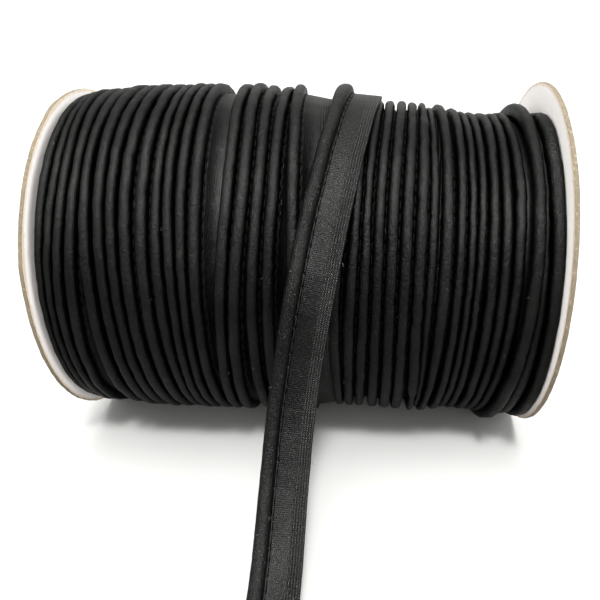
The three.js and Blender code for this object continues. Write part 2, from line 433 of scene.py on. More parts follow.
class Inputs:
    """The named inputs of a geometry tree, and their values on a modifier."""

    KINDS = {
        "geometry": "NodeSocketGeometry",
        "length": "NodeSocketFloat",
        "number": "NodeSocketFloat",
        "object": "NodeSocketObject",
        "material": "NodeSocketMaterial",
    }

    def __init__(self, name, **kinds):
        self.tree = bpy.data.node_groups.new(name, "GeometryNodeTree")
        face = self.tree.interface
        face.new_socket("Geometry", in_out="OUTPUT", socket_type="NodeSocketGeometry")
        self.identifiers = {}
        for label, kind in {"geometry": "geometry", **kinds}.items():
            title = label.replace("_", " ").title()
            socket = face.new_socket(title, in_out="INPUT", socket_type=self.KINDS[kind])
            self.identifiers[label] = socket.identifier
        self.node = self.tree.nodes.new("NodeGroupInput")

    def __getitem__(self, label):
        return Wire(self.tree, self.node.outputs[list(self.identifiers).index(label)])

    def end(self, geometry, material):
        """Realize Instances, Set Material, and the way out."""
        real = add(self.tree, "GeometryNodeRealizeInstances", {}, {"Geometry": geometry})
        dressed = add(self.tree, "GeometryNodeSetMaterial", {},
                      {"Geometry": real, "Material": material})
        out = self.tree.nodes.new("NodeGroupOutput")
        self.tree.links.new(dressed.socket, out.inputs[0])

    def run(self, obj, name, **values):
        """The tree's result on obj as a plain mesh object of its own; obj is removed."""
        modifier = obj.modifiers.new("build", "NODES")
        modifier.node_group = self.tree
        for label, value in values.items():
            modifier[self.identifiers[label]] = value
        bpy.context.view_layer.update()
        evaluated = obj.evaluated_get(bpy.context.evaluated_depsgraph_get())
        mesh = bpy.data.meshes.new_from_object(evaluated)
        obj.modifiers.clear()
        bpy.data.objects.remove(obj)
        return link(name, mesh)


def link(name, mesh):
    if not mesh.polygons:
        raise RuntimeError(f"{name} came out empty")
    mesh.name = name
    piece = bpy.data.objects.new(name, mesh)
    bpy.context.scene.collection.objects.link(piece)
    return piece


def named(tree, name, kind="FLOAT"):
    return add(tree, "GeometryNodeInputNamedAttribute", {"data_type": kind}, {"Name": name})


def line_object(name, points, closed=False, **columns):
    """A thin line of edges through points, with a value for each point in every column."""
    mesh = bpy.data.meshes.new(name)
    count = len(points)
    edges = [(i, i + 1) for i in range(count - 1)] + ([(count - 1, 0)] if closed else [])
    mesh.from_pydata([tuple(p) for p in points], edges, [])
    for label, values in columns.items():
        values = np.asarray(values, float)
        vector = values.ndim == 2
        attribute = mesh.attributes.new(label, "FLOAT_VECTOR" if vector else "FLOAT", "POINT")
        attribute.data.foreach_set("vector" if vector else "value", values.ravel())
    line = bpy.data.objects.new(name, mesh)
    bpy.context.scene.collection.objects.link(line)
    return line


def cloth_sweep():
    """Sweeps a section along a route. Each route point has its place, the directions across and outward,
    how far the bead is squeezed, how wide the tape lies, how steeply it is tucked down and how much the
    cloth wavers there."""
    tree = Inputs("Cloth sweep", section="object", bead_diameter="length", waver_scale="number",
                  floor_gap="length", material="material")
    t = tree.tree
    route = add(t, "GeometryNodeMeshToCurve", {}, {"Mesh": tree["geometry"]})
    outline = add(t, "GeometryNodeObjectInfo", {}, {"Object": tree["section"]}, 4)
    outline = add(t, "GeometryNodeMeshToCurve", {}, {"Mesh": outline})
    swept = add(t, "GeometryNodeCurveToMesh", {},
                {"Curve": route, "Profile Curve": outline, "Fill Caps": True})

    place = named(t, "place", "FLOAT_VECTOR")
    across = named(t, "across", "FLOAT_VECTOR")
    outward = named(t, "outward", "FLOAT_VECTOR")
    section = named(t, "section", "FLOAT_VECTOR")
    squeeze = named(t, "squeeze")
    spread = named(t, "spread")
    tuck = named(t, "tuck")
    waver = named(t, "waver")

    half = tree["bead_diameter"] * 0.5
    sideways = section.part(0)
    bead_part = sideways.at_most(half).at_least(-half)
    tape_part = sideways - bead_part
    uneven = noise(t, place, tree["waver_scale"], detail=2.0, output=1)
    uneven = (uneven - (0.5, 0.5, 0.5)).scaled(waver)
    u = bead_part * squeeze + tape_part * spread + uneven.part(0)
    v = section.part(1) - tape_part.at_least(0.0) * tuck + uneven.part(1)
    moved = place + across.scaled(u) + outward.scaled(v)
    raised = combine_xyz(t, moved.part(0), moved.part(1), moved.part(2).at_least(tree["floor_gap"]))
    swept = add(t, "GeometryNodeSetPosition", {}, {"Geometry": swept, "Position": raised})

    cloth = combine_xyz(t, named(t, "girth"), named(t, "along"), 0.0)
    swept = add(t, "GeometryNodeStoreNamedAttribute", {"data_type": "FLOAT2", "domain": "CORNER"},
                {"Geometry": swept, "Name": "cloth", "Value": cloth})
    swept = add(t, "GeometryNodeSetShadeSmooth", {}, {"Geometry": swept, "Shade Smooth": True})
    tree.end(swept, tree["material"])
    return tree


def stitch_row():
    """Lays one stitch after another along a route."""
    tree = Inputs("Stitch row", pitch="length", thread_diameter="length", material="material")
    t = tree.tree
    route = add(t, "GeometryNodeMeshToCurve", {}, {"Mesh": tree["geometry"]})
    spaced = add(t, "GeometryNodeResampleCurve", {"mode": "LENGTH"},
                 {"Curve": route, "Length": tree["pitch"]})
    stitch = add(t, "GeometryNodeMeshUVSphere", {}, {"Segments": 6, "Rings": 5, "Radius": 0.5})
    tangent = add(t, "GeometryNodeInputTangent", {}, {})
    turned = add(t, "FunctionNodeAlignRotationToVector", {"axis": "Z"}, {"Vector": tangent})
    share = add(t, "FunctionNodeRandomValue", {"data_type": "FLOAT"},
                {2: 0.78, 3: 0.9, "Seed": 7}, 1)
    size = combine_xyz(t, tree["thread_diameter"], tree["thread_diameter"], tree["pitch"] * share)
    laid = add(t, "GeometryNodeInstanceOnPoints", {},
               {"Points": spaced, "Instance": stitch, "Rotation": turned, "Scale": size})
    real = add(t, "GeometryNodeRealizeInstances", {}, {"Geometry": laid})
    smooth = add(t, "GeometryNodeSetShadeSmooth", {}, {"Geometry": real, "Shade Smooth": True})
    tree.end(smooth, tree["material"])
    return tree


def lint():
    """Scatters short loose fibres on the beads' crests and on the tape's free edge."""
    tree = Inputs("Lint", density="number", crest="length", free_edge="length", fibre_length="length",
                  fibre_thickness="length", material="material")
    t = tree.tree
    section = named(t, "section", "FLOAT_VECTOR")
    beyond = (section.part(1) - tree["crest"]).at_least(section.part(0) - tree["free_edge"])
    points = add(t, "GeometryNodeDistributePointsOnFaces", {"distribute_method": "RANDOM"},
                 {"Mesh": tree["geometry"], "Selection": beyond, "Density": tree["density"], "Seed": 11})
    bend = add(t, "GeometryNodeCurveArc", {"mode": "RADIUS"},
               {"Resolution": 4, "Radius": tree["fibre_length"] * 0.6, "Sweep Angle": 1.7})
    round_section = add(t, "GeometryNodeCurvePrimitiveCircle", {"mode": "RADIUS"},
                        {"Resolution": 3, "Radius": tree["fibre_thickness"] * 0.5})
    fibre = add(t, "GeometryNodeCurveToMesh", {},
                {"Curve": bend, "Profile Curve": round_section, "Fill Caps": True})
    turned = add(t, "FunctionNodeRandomValue", {"data_type": "FLOAT_VECTOR"},
                 {0: (0.0, 0.0, 0.0), 1: (6.2, 6.2, 6.2), "Seed": 5})
    laid = add(t, "GeometryNodeInstanceOnPoints", {},
               {"Points": points, "Instance": fibre, "Rotation": turned})
    tree.end(laid, tree["material"])
    return tree


# Cloth section: u runs from the bead to the tape's free edge, v is outwards, both from the bead's middle

def tape_section(trim, bead_points, tape_points, fullness):
    """fullness is 1 for a round bead, and less for one with a flatter crest. The bead's arc starts on the
    tape's upper side, or else the outline would cross itself and spoil the end caps."""
    radius = trim.bead_diameter / 2
    under = -radius
    over = under + trim.tape_thickness
    edge = trim.tape_width - radius
    seam = -math.asin((-over / radius) ** (1 / fullness))
    corner_u = radius * math.cos(seam) ** fullness
    sides = np.linspace(0, 1, tape_points)

    points = [(corner_u + (edge - corner_u) * s, over) for s in sides[::-1]]
    arc = np.linspace(seam, 1.5 * math.pi - math.radians(4), bead_points)
    for a in arc:
        c, s = math.cos(a), math.sin(a)
        points.append((math.copysign(radius * abs(c) ** fullness, c),
                       math.copysign(radius * abs(s) ** fullness, s)))
    below_bead = 0.1 * MM
    points += [(below_bead + (edge - below_bead) * s, under) for s in sides]
    fold = edge + 0.12 * MM
    points += [(fold, under + trim.tape_thickness * share) for share in (0.35, 0.7)]
    points = [p for i, p in enumerate(points) if i == 0 or math.dist(p, points[i - 1]) > 1e-6]
    steps = [0.0] + [math.dist(points[i], points[i - 1]) for i in range(1, len(points))]
    girth = np.cumsum(steps)
    flat = [(u, v, 0.0) for u, v in points]
    return line_object("tape_section", flat, closed=True, section=flat, girth=girth)


# Wound turns

def sag(x):
    return np.interp(x, [row["x"] for row in SAG], [row["drop"] for row in SAG])


def swell(x, angle):
    below = np.interp(x, [row["x"] for row in SWELL], [row["below"] for row in SWELL])
    return below * np.clip(-np.sin(angle), 0.0, 1.0)


def through(knots, values, at):
    """A smooth curve through values at rising knots."""
    knots = np.asarray(knots, float)
    values = np.asarray(values, float)
    slopes = np.gradient(values, knots)
    i = np.clip(np.searchsorted(knots, at, side="right") - 1, 0, len(knots) - 2)
    span = knots[i + 1] - knots[i]
    t = (np.asarray(at) - knots[i]) / span
    return (
        values[i] * (1 + 2 * t) * (1 - t) ** 2 + span * slopes[i] * t * (1 - t) ** 2
        + values[i + 1] * t * t * (3 - 2 * t) + span * slopes[i + 1] * t * t * (t - 1)
    )


def wound_knots(turns):
    """(travel, x, crest) rows along the cord. Travel is the angle wound since the first turn's front."""
    rows = []
    for lap, turn in enumerate(turns):
        places = (turn.top, turn.upper, turn.front, turn.low)
        rows += [(360 * lap - a, x, turn.crest) for a, x in zip(COLUMN_ANGLES, places)]
    return rows


def ring_points(travel, x, crest, bead_radius):
    """Bead middles, and the directions outward from the roll, at angles of travel."""
    angle = np.radians(-travel)
    outward = np.stack([np.zeros_like(angle), -np.cos(angle), np.sin(angle)], 1)
    middle = np.stack([x, np.zeros_like(x), AXIS_HEIGHT - sag(x)], 1)
    out = crest + swell(x, angle) - bead_radius
    return middle + outward * out[:, None], outward


def next_lap(travel, knots, lap):
    """x and crest of the same cord one lap on or back, and whether it has that lap there."""
    table = np.asarray(knots)
    first, last = table[0, 0], table[-1, 0]
    there = travel + lap
    at = np.clip(there, first, last)
    return (through(table[:, 0], table[:, 1], at), through(table[:, 0], table[:, 2], at),
            (there >= first) & (there <= last))


def room_beside(x, crest, travel, knots):
    """The lesser distance to the same cord's next laps on either side, for each point. It has no bound
    where both of them are missing or lie well below."""
    room = np.full(len(x), 99.0)
    for lap in (-360, 360):
        other, its_crest, there = next_lap(travel, knots, lap)
        beside = there & (its_crest > crest - STEP_DOWN)
        room = np.where(beside, np.minimum(room, np.abs(other - x)), room)
    return room


def slope_under(x, crest, travel, knots, lap, least):
    """How steeply each point's tape must fall to pass under the lap that lies to its right."""
    other, its_crest, there = next_lap(travel, knots, lap)
    slope = (crest - its_crest + EXTRA_FALL) / np.maximum(other - x, LEAST_RUN)
    return np.where(there, np.clip(slope, least, STEEPEST), least)


def wound_cord(turns, trim, start, last_knot=None):
    """The columns of a layer's route: bead middles, directions, and how its section changes on the way."""
    knots = wound_knots(turns)
    travel, x, crest = knots[0]
    knots = [(travel - row["before"], x, crest - row["depth"]) for row in start] + knots
    if last_knot is None:
        travel, x, crest = knots[-1]
        knots += [(travel + row["after"], x + row["shift"], crest - row["depth"]) for row in LOWER_END]
    else:
        travel, x, crest = last_knot
        knots.append((360 * (len(turns) - 1) + travel, x, crest))
    table = np.asarray(knots, float)
    count = int((table[-1, 0] - table[0, 0]) / 360 * STEPS_PER_TURN)
    travel = np.linspace(table[0, 0], table[-1, 0], count)
    x = through(table[:, 0], table[:, 1], travel)
    crest = through(table[:, 0], table[:, 2], travel)
    middle, outward = ring_points(travel, x, crest, trim.bead_diameter / 2 / MM)
    to_disc = INNER_FACE - BEAD_CLEARANCE
    room = np.minimum(room_beside(x, crest, travel, knots) * trim.bead_share,
                      ROOM_TO_WIDTH * (to_disc - np.abs(x)))
    most = np.where(np.abs(x) > END_X, 1.0, MOST_WIDTH)
    squeeze = np.clip(room * MM / trim.bead_diameter, LEAST_WIDTH, most)
    waver = np.full(count, WOUND_WAVER)
    flat_tape = (trim.tape_width - trim.bead_diameter) / MM
    tape_room = to_disc - TAPE_CLEARANCE - x - squeeze * trim.bead_diameter / 2 / MM
    spread = np.clip(tape_room / flat_tape, 0.03, 1.0)
    right_lap = 360 if knots[-1][1] > knots[0][1] else -360
    tuck = slope_under(x, crest, travel, knots, right_lap, trim.tuck)
    if last_knot is not None:
        to_end = travel[-1] - travel
        near = np.clip(1 - to_end / JOIN_FADE, 0.0, 1.0)
        squeeze += (JOIN_WIDTH - squeeze) * near
        waver += (LOOSE_WAVER - waver) * near
        tuck_near = np.clip(1 - (to_end - TUCK_FADE["before"]) / TUCK_FADE["over"], 0.0, 1.0)
        tuck += (LAID_TUCK - tuck) * tuck_near
    along = np.concatenate([[0.0], np.cumsum(np.linalg.norm(np.diff(middle, axis=0), axis=1))])
    across = np.tile([1.0, 0.0, 0.0], (count, 1))
    return {"place": middle * MM, "across": across, "outward": outward, "along": along * MM,
            "squeeze": squeeze, "spread": spread, "tuck": tuck, "waver": waver * MM}


def seam_points(route, trim):
    """Where the stitches run, just beside the bead on the tape."""
    beside_bead = 0.2 * MM
    side = route["squeeze"] * trim.bead_diameter / 2 + beside_bead
    down = trim.bead_diameter / 2 - trim.tape_thickness
    return route["place"] + route["across"] * side[:, None] - route["outward"] * down


# Loose end

def catmull_rom(points, step):
    """Points every step along a centripetal curve through points."""
    points = [np.asarray(p, float) for p in points]
    points = [2 * points[0] - points[1], *points, 2 * points[-1] - points[-2]]
    fine = []
    for a, b, c, d in zip(points, points[1:], points[2:], points[3:]):
        t0 = 0.0
        t1 = t0 + math.sqrt(np.linalg.norm(b - a))
        t2 = t1 + math.sqrt(np.linalg.norm(c - b))
        t3 = t2 + math.sqrt(np.linalg.norm(d - c))
        for t in np.linspace(t1, t2, 40, endpoint=False):
            ab = a + (b - a) * (t - t0) / (t1 - t0)
            bc = b + (c - b) * (t - t1) / (t2 - t1)
            cd = c + (d - c) * (t - t2) / (t3 - t2)
            abc = ab + (bc - ab) * (t - t0) / (t2 - t0)
            bcd = bc + (cd - bc) * (t - t1) / (t3 - t1)
            fine.append(abc + (bcd - abc) * (t - t1) / (t2 - t1))
    fine.append(points[-2])
    fine = np.array(fine)
    run = np.concatenate([[0.0], np.cumsum(np.linalg.norm(np.diff(fine, axis=0), axis=1))])
    count = int(run[-1] / step) + 1
    at = np.linspace(0, run[-1], count)
    return np.stack([np.interp(at, run, fine[:, k]) for k in range(3)], 1), at


def loose_route():
    """The tape's middle, and the directions across it and outward, along the loose end."""
    laid = []
    for row in LAID_PATH:
        a = math.radians(row["angle"])
        laid.append((row["x"], -LAID_RADIUS * math.cos(a), AXIS_HEIGHT + LAID_RADIUS * math.sin(a)))
    free = [(row["x"], row["y"], row["z"]) for row in FREE_PATH]
    middle, along = catmull_rom(laid + free, LOOSE_END_STEP)
    tangent = np.gradient(middle, axis=0)
    tangent /= np.linalg.norm(tangent, axis=1)[:, None]
    across = np.array([1.0, 0.0, 0.0]) - tangent * tangent[:, :1]
    across /= np.linalg.norm(across, axis=1)[:, None]
    return middle, along, across, np.cross(tangent, across)


def join_knot(trim):
    """The wound cord's last knot, a little past the start of the loose end and under it."""
    first = LAID_PATH[0]
    x = first["x"] - (trim.tape_width - trim.bead_diameter) / 2 / MM
    crest = LAID_RADIUS + (trim.bead_diameter - trim.tape_thickness / 2) / MM
    raised = crest + sag(x) * math.sin(math.radians(first["angle"]))
    return 360 - first["angle"] + LAP_UNDER, x, raised - LAP_SINK


# Spool discs

def shell(name, rings, material_of):
    """A closed mesh through rings of points in millimetres. material_of gives the material of each band
    between two rings, and the first and last band's ends have the same one."""
    mesh = bmesh.new()
    rings = [[mesh.verts.new(point) for point in ring] for ring in rings]
    for band, (first, second) in enumerate(zip(rings, rings[1:])):
        for k in range(len(first)):
            n = (k + 1) % len(first)
            face = mesh.faces.new((first[k], first[n], second[n], second[k]))
            face.material_index = material_of(band)
            face.smooth = True
    mesh.faces.new(rings[0]).material_index = material_of(0)
    mesh.faces.new(rings[-1]).material_index = material_of(len(rings) - 2)
    bmesh.ops.scale(mesh, vec=(MM, MM, MM), verts=mesh.verts)
    bmesh.ops.recalc_face_normals(mesh, faces=mesh.faces)
    made = bpy.data.meshes.new(name)
    mesh.to_mesh(made)
    mesh.free()
    return made


def disc_profile(radius, half):
    """(radius, thickness) points of a disc's face, soft edge and half of its rim."""
    face = [(radius * share, half) for share in (0.2, 0.45, 0.7, 0.85, 0.93, 0.975)]
    return face + [(radius - 0.3, half), (radius - 0.1, half - 0.01), (radius - 0.03, half - 0.05),
                   (radius, half - 0.16)]


def out_of_round(name, angle, t):
    """How far the rim of a disc stands out at an angle: its kinks, and fine ripples in the card."""
    out = sum(row["offset"] * math.exp(-((angle - row["angle"]) / row["width"]) ** 2)
              for row in KINKS if row["disc"] == name)
    grain = 0.06 * math.sin(math.radians(angle * 37)) * math.sin(math.radians(angle * 11 + 40))
    grain += 0.04 * math.sin(math.radians(angle * 83 + 25 * t))
    return out + grain


def disc_mesh(name, middle_x, spool):
    """A round of card with a flat spot below, its rim a little uneven and its edges soft. Material 0 is
    on the face towards the winding, 1 on the rim and 2 on the outer face."""
    first_side, second_side = (0, 2) if middle_x < 0 else (2, 0)
    radius = spool.disc_radius / MM
    near = disc_profile(radius, spool.disc_thickness / MM / 2)
    profile = near + [(radius, 0.0)] + [(r, -t) for r, t in near[::-1]]
    face_bands = len(near) - 3

    def material_of(band):
        if band < face_bands:
            return first_side
        return second_side if band >= len(profile) - 1 - face_bands else 1

    rings = []
    for r, t in profile:
        ring = []
        for k in range(DISC_SIDES):
            angle = 360 * k / DISC_SIDES
            a = math.radians(angle)
            reach = r + out_of_round(name, angle, t) * (r / radius) ** 8
            z = AXIS_HEIGHT + reach * math.sin(a)
            ring.append((middle_x + t, -reach * math.cos(a), max(z, 0.0)))
        rings.append(ring)
    return shell(name + "_card", rings, material_of)


def winding_base_mesh(trim):
    """The dark body of the turns below, just under the beads and tapes that show."""
    depth = trim.bead_diameter / MM + BASE_DEPTH
    turns = UPPER_LAYER + LOWER_LAYER
    columns = [(-BASE_END, turns[0].crest - depth)]
    columns += [(t.front, t.crest - depth) for t in turns]
    columns += [(BASE_END, turns[-1].crest - depth)]
    rings = []
    for x, r in columns:
        ring = []
        for k in range(BASE_SIDES):
            a = 2 * math.pi * k / BASE_SIDES
            z = AXIS_HEIGHT - sag(x) + r * math.sin(a)
            ring.append((x, -r * math.cos(a), max(z, 2 * FLOOR_GAP)))
        rings.append(ring)
    return shell("winding_base", rings, lambda band: 0)


# Materials

# The tape's ribs along its free edge, the dots on them, its weft, and how far the stitches pinch it.
RIB_PITCH = 0.55
DOT_PITCH = 0.50
WEFT_PITCH = 0.42
PINCH_REACH = 0.55
# Colours of threads rubbed bright, and of the satin's gloss where it is seen edge on.
WORN_COLOUR = (0.38, 0.385, 0.378, 1.0)
EDGE_TINT = (0.62, 0.62, 0.62, 1.0)


def waves(distance, pitch):
    """A phase that goes once round in every pitch."""
    return distance * (2 * math.pi / pitch)


def satin(name, trim, weave, seam):
    """Black satin, with the gloss of a metal. weave is the height of its threads, and seam the depth of
    the stitch holes. The tape's free edge has a few dotted ribs along it."""
    material, t = new_material(name)
    cloth = add(t, "ShaderNodeUVMap", {"uv_map": "cloth"}, {})
    girth, along = cloth.part(0), cloth.part(1)
    place = object_place(t)
    flat_tape = trim.tape_width - trim.bead_diameter
    on_tape = 1 - ramp(t, girth, flat_tape - 0.4 * MM, flat_tape + 0.2 * MM)
    on_ribs = 1 - ramp(t, girth, 2.0 * MM, 3.4 * MM)

    grain = noise(t, place, 4600.0, detail=2.0, roughness=0.6)
    warp = noise(t, combine_xyz(t, girth * 4200.0, along * 900.0, 0.0), 1.0)
    puckers = noise(t, combine_xyz(t, girth * 620.0, along * 560.0, 9.0), 1.0, detail=3.0)
    ribs = waves(girth, RIB_PITCH * MM).sine()
    dots = waves(along, DOT_PITCH * MM).sine()
    edge = (ribs * 0.8 + ribs * dots * 0.9) * on_ribs
    cross = (waves(along, WEFT_PITCH * MM) + warp * 2.0).sine() * on_tape
    from_seam = (girth - flat_tape) / (PINCH_REACH * MM)
    wander = noise(t, combine_xyz(t, along * 160.0, 5.0, 0.0), 1.0) * 9.0
    holes = ((waves(along, trim.stitch_pitch) + wander).sine() * 0.5 + 0.5) ** 2.0
    ragged = noise(t, combine_xyz(t, along * 900.0, girth * 700.0, 3.0), 1.0)
    pinch = (holes * 0.7 + ragged) * (1 - (from_seam * from_seam)).at_least(0.0)
    snags = ramp(t, noise(t, place, 520.0, detail=3.0, roughness=0.6), 0.71, 0.76) * on_tape
    lumps = noise(t, place, 1600.0) * (1.0 - on_tape)
    height = ((grain * (1.4 - on_tape * 0.5) + warp * 0.7 + edge * 0.5 + cross * 0.10 + lumps * 1.6)
              * weave + puckers * (1.3 - on_tape * 0.7)
              - pinch * seam - snags * 1.6)

    soft = noise(t, place, 90.0)
    colour = mix_colours(t, ramp(t, soft, 0.35, 0.7), opaque(trim.cloth_colour),
                         opaque(trim.cloth_colour, 1.5))
    worn = ramp(t, grain, 0.50, 0.72)
    colour = mix_colours(t, (worn * 0.05 + ramp(t, edge, 0.2, 1.2) * 0.11) * weave, colour,
                         WORN_COLOUR)
    lint = ramp(t, noise(t, place, 2600.0, detail=0.0), 0.80, 0.86)
    colour = mix_colours(t, lint * 0.4, colour, (0.09, 0.09, 0.085, 1.0))
    roughness = 0.31 + grain * 0.12 + soft * 0.06
    finish_material(t, colour, roughness, height, 0.12 * MM, metallic=1.0, specular_tint=EDGE_TINT)
    return material


# Sewing thread. Its last argument scales the colour and gloss; below 1 that is painted shade, darkening
# the thread where it lies down in the wound turns' grooves.
def thread_material(trim, painted_shade_factor):
    material, t = new_material("sewing thread")
    place = object_place(t)
    twist = noise(t, place, 3000.0)
    colour = mix_colours(t, twist, opaque(trim.thread_colour, painted_shade_factor),
                         opaque(trim.thread_colour, painted_shade_factor * 2.0))
    finish_material(t, colour, 0.42 + twist * 0.2, twist, 0.05 * MM, specular_ior_level=0.16 * painted_shade_factor)
    return material


def lint_material():
    material, t = new_material("lint")
    place = object_place(t)
    fibre = noise(t, place, 800.0)
    colour = mix_colours(t, fibre, (0.05, 0.052, 0.05, 1.0), (0.12, 0.118, 0.11, 1.0))
    finish_material(t, colour, 0.7 + fibre * 0.1, fibre, 0.02 * MM, specular_ior_level=0.2)
    return material


def from_axis(t, place):
    """The distance from the spool's axis."""
    up = place.part(2) - AXIS_HEIGHT * MM
    return (place.part(1) * place.part(1) + up * up) ** 0.5


def paper_material(spool):
    """White paper on card, faintly mottled, with a few scuffs. It is worn tan along the rim."""
    material, t = new_material("paper facing")
    place = object_place(t)
    fibre = noise(t, place, 900.0, detail=4.0)
    cloud = noise(t, place, 45.0, detail=3.0)
    scuff = ramp(t, noise(t, place, 210.0, detail=2.0), 0.66, 0.74)
    colour = mix_colours(t, cloud * 0.5 + fibre * 0.15, opaque(spool.paper_colour),
                         opaque(spool.paper_colour, 0.88))
    colour = mix_colours(t, scuff * 0.16, colour, (0.50, 0.46, 0.42, 1.0))
    worn = ramp(t, from_axis(t, place) + fibre * (0.7 * MM), spool.disc_radius - 0.7 * MM,
                spool.disc_radius + 0.2 * MM)
    colour = mix_colours(t, worn * 0.8, colour, (0.56, 0.43, 0.30, 1.0))
    finish_material(t, colour, 0.62 + fibre * 0.2, fibre, 0.05 * MM, specular_ior_level=0.35)
    return material


def card_material(spool):
    """The cut edge of grey-brown card, in fine layers, with torn flecks."""
    material, t = new_material("card edge")
    place = object_place(t)
    layers = noise(t, combine_xyz(t, place.part(0) * 6000.0, place.part(1) * 300.0,
                                  place.part(2) * 300.0), 1.0, detail=3.0)
    blotch = noise(t, place, 260.0, detail=3.0)
    flecks = noise(t, place, 1500.0, detail=2.0)
    colour = mix_colours(t, layers * 0.5 + blotch * 0.5, opaque(spool.card_colour, 1.25),
                         opaque(spool.card_colour, 0.6))
    light_flecks = ramp(t, flecks, 0.60, 0.72)
    dark_flecks = ramp(t, flecks, 0.42, 0.30)
    colour = mix_colours(t, light_flecks * 0.6, colour, opaque(spool.card_colour, 2.3))
    colour = mix_colours(t, dark_flecks * 0.5, colour, opaque(spool.card_colour, 0.35))
    finish_material(t, colour, 0.8, layers + flecks, 0.12 * MM, specular_ior_level=0.2)
    return material


def board_material_with_painted_shade(spool):
    """Plain board, toned darker than the paper as painted shade against the outer faces' stronger light,
    with fibres and a few darker ones pressed into it.
    """
    material, t = new_material("plain board with painted shade")
    place = object_place(t)
    fibre = noise(t, place, 700.0, detail=4.0, roughness=0.65)
    cloud = noise(t, place, 60.0, detail=4.0)
    shreds = ramp(t, noise(t, combine_xyz(t, 0.0, place.part(1) * 500.0, place.part(2) * 1600.0), 1.0,
                           detail=3.0), 0.64, 0.74)
    colour = mix_colours(t, cloud * 0.7 + fibre * 0.3, opaque(spool.board_colour_with_painted_shade),
                         opaque(spool.board_colour_with_painted_shade, 0.80))
    colour = mix_colours(t, shreds * 0.35, colour, opaque(spool.board_colour_with_painted_shade, 0.55))
    worn = ramp(t, from_axis(t, place) + fibre * (0.7 * MM), spool.disc_radius - 0.8 * MM,
                spool.disc_radius + 0.2 * MM)
    colour = mix_colours(t, worn * 0.6, colour, (0.34, 0.27, 0.19, 1.0))
    finish_material(t, colour, 0.75 + fibre * 0.1, fibre + cloud * 0.6, 0.08 * MM,
                    specular_ior_level=0.25)
    return material


def floor_material(stage):
    material, t = new_material("floor")
    place = object_place(t)
    cloud = noise(t, place, 3.0)
    colour = mix_colours(t, cloud, opaque(stage.floor_colour), opaque(stage.floor_colour, 0.985))
    finish_material(t, colour, 0.75, cloud, 0.01 * MM, specular_ior_level=0.2)
    return material


# Operators

def settings(context):
    scene = context.scene
    return scene.piping_trim, scene.piping_spool, scene.piping_stage


class PIPING_OT_stage(bpy.types.Operator):
    """Make the camera, the floor and the lights"""

    bl_idname = "piping.stage"
    bl_label = "Stage"

    def execute(self, context):
        _, _, stage = settings(context)
        eye = Vector(CAMERA_PLACE) * MM
        towards = Vector(CAMERA_TARGET) * MM - eye
        turn = towards.to_track_quat("-Z", "Y").to_matrix().to_4x4()
        camera_data = bpy.data.cameras.new("camera")
        camera_data.lens = CAMERA_LENS
        camera_data.sensor_width = 36.0
        camera_data.shift_y = CAMERA_SHIFT_Y
        camera_data.clip_start = 0.005
        camera = bpy.data.objects.new("camera", camera_data)
        camera.matrix_world = (Matrix.Translation(eye) @ turn
                               @ Matrix.Rotation(math.radians(CAMERA_ROLL), 4, "Z"))
        context.scene.collection.objects.link(camera)
        context.scene.camera = camera

        bpy.ops.mesh.primitive_plane_add(size=6.0)
        floor = context.object
        floor.name = "floor"
        floor.data.materials.append(floor_material(stage))

        world = bpy.data.worlds.new("studio")
        context.scene.world = world
        world.use_nodes = True
        t = world.node_tree
        t.nodes.clear()
        sky_side = add(t, "ShaderNodeTexCoord", {}, {})

        light = 0.0
        for box in SOFT_BOXES:
            facing = add(t, "ShaderNodeVectorMath", {"operation": "DOT_PRODUCT"},
                         {0: sky_side, 1: Vector(box["towards"]).normalized()}, 1).at_least(0.0)
            light = facing ** box["narrowness"] * (box["strength"] * stage.soft_light) + light
        light = light + stage.room_light
        seen = add(t, "ShaderNodeLightPath", {}, {})
        light = light + seen * (BACKDROP - light)
        sky = add(t, "ShaderNodeBackground", {}, {"Color": SKY_COLOUR, "Strength": light})
        add(t, "ShaderNodeOutputWorld", {}, {"Surface": sky})
        context.scene.view_settings.view_transform = "Standard"
        return {"FINISHED"}


class PIPING_OT_loose_end(bpy.types.Operator):
    """Make the loose end that hangs from the roll, with its seam"""

    bl_idname = "piping.loose_end"
    bl_label = "Loose End"

    def execute(self, context):
        trim, _, _ = settings(context)
        middle, along, across, outward = loose_route()
        bead_side = (trim.tape_width - trim.bead_diameter) / 2 / MM
        bead_up = (trim.bead_diameter - trim.tape_thickness) / 2 / MM
        count = len(middle)
        bulge = BULGE["widening"] * np.exp(-((along - BULGE["along"]) / BULGE["length"]) ** 2)
        route = {
            "place": (middle - across * bead_side + outward * bead_up) * MM,
            "across": across, "outward": outward, "along": along * MM, "squeeze": 1 + bulge,
            "spread": np.ones(count), "tuck": np.interp(along, LAID_TUCK_FADE, (LAID_TUCK, 0.0)),
            "waver": np.full(count, LOOSE_WAVER * MM),
        }
        section = tape_section(trim, bead_points=26, tape_points=15, fullness=0.94)
        piece = cloth_sweep().run(line_object("loose_route", route["place"], **route),
                                  "loose_end_cloth", section=section,
                                  bead_diameter=trim.bead_diameter, waver_scale=WAVER_SCALE,
                                  floor_gap=0.0,
                                  material=satin("piping satin, loose", trim, weave=1.0, seam=2.4))
        bpy.data.objects.remove(section)
        face_out(piece)
        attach(piece, "root")
        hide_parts("loose_end")

        stitches = sew("loose_end_seam", route, trim, painted_shade_factor=1.0)
        fibres = scatter_lint(piece, "loose_end_lint", trim, density=90000.0)
        middle[0] * MM
        along[-1] * MM
        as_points(middle[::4] * MM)
        return {"FINISHED"}


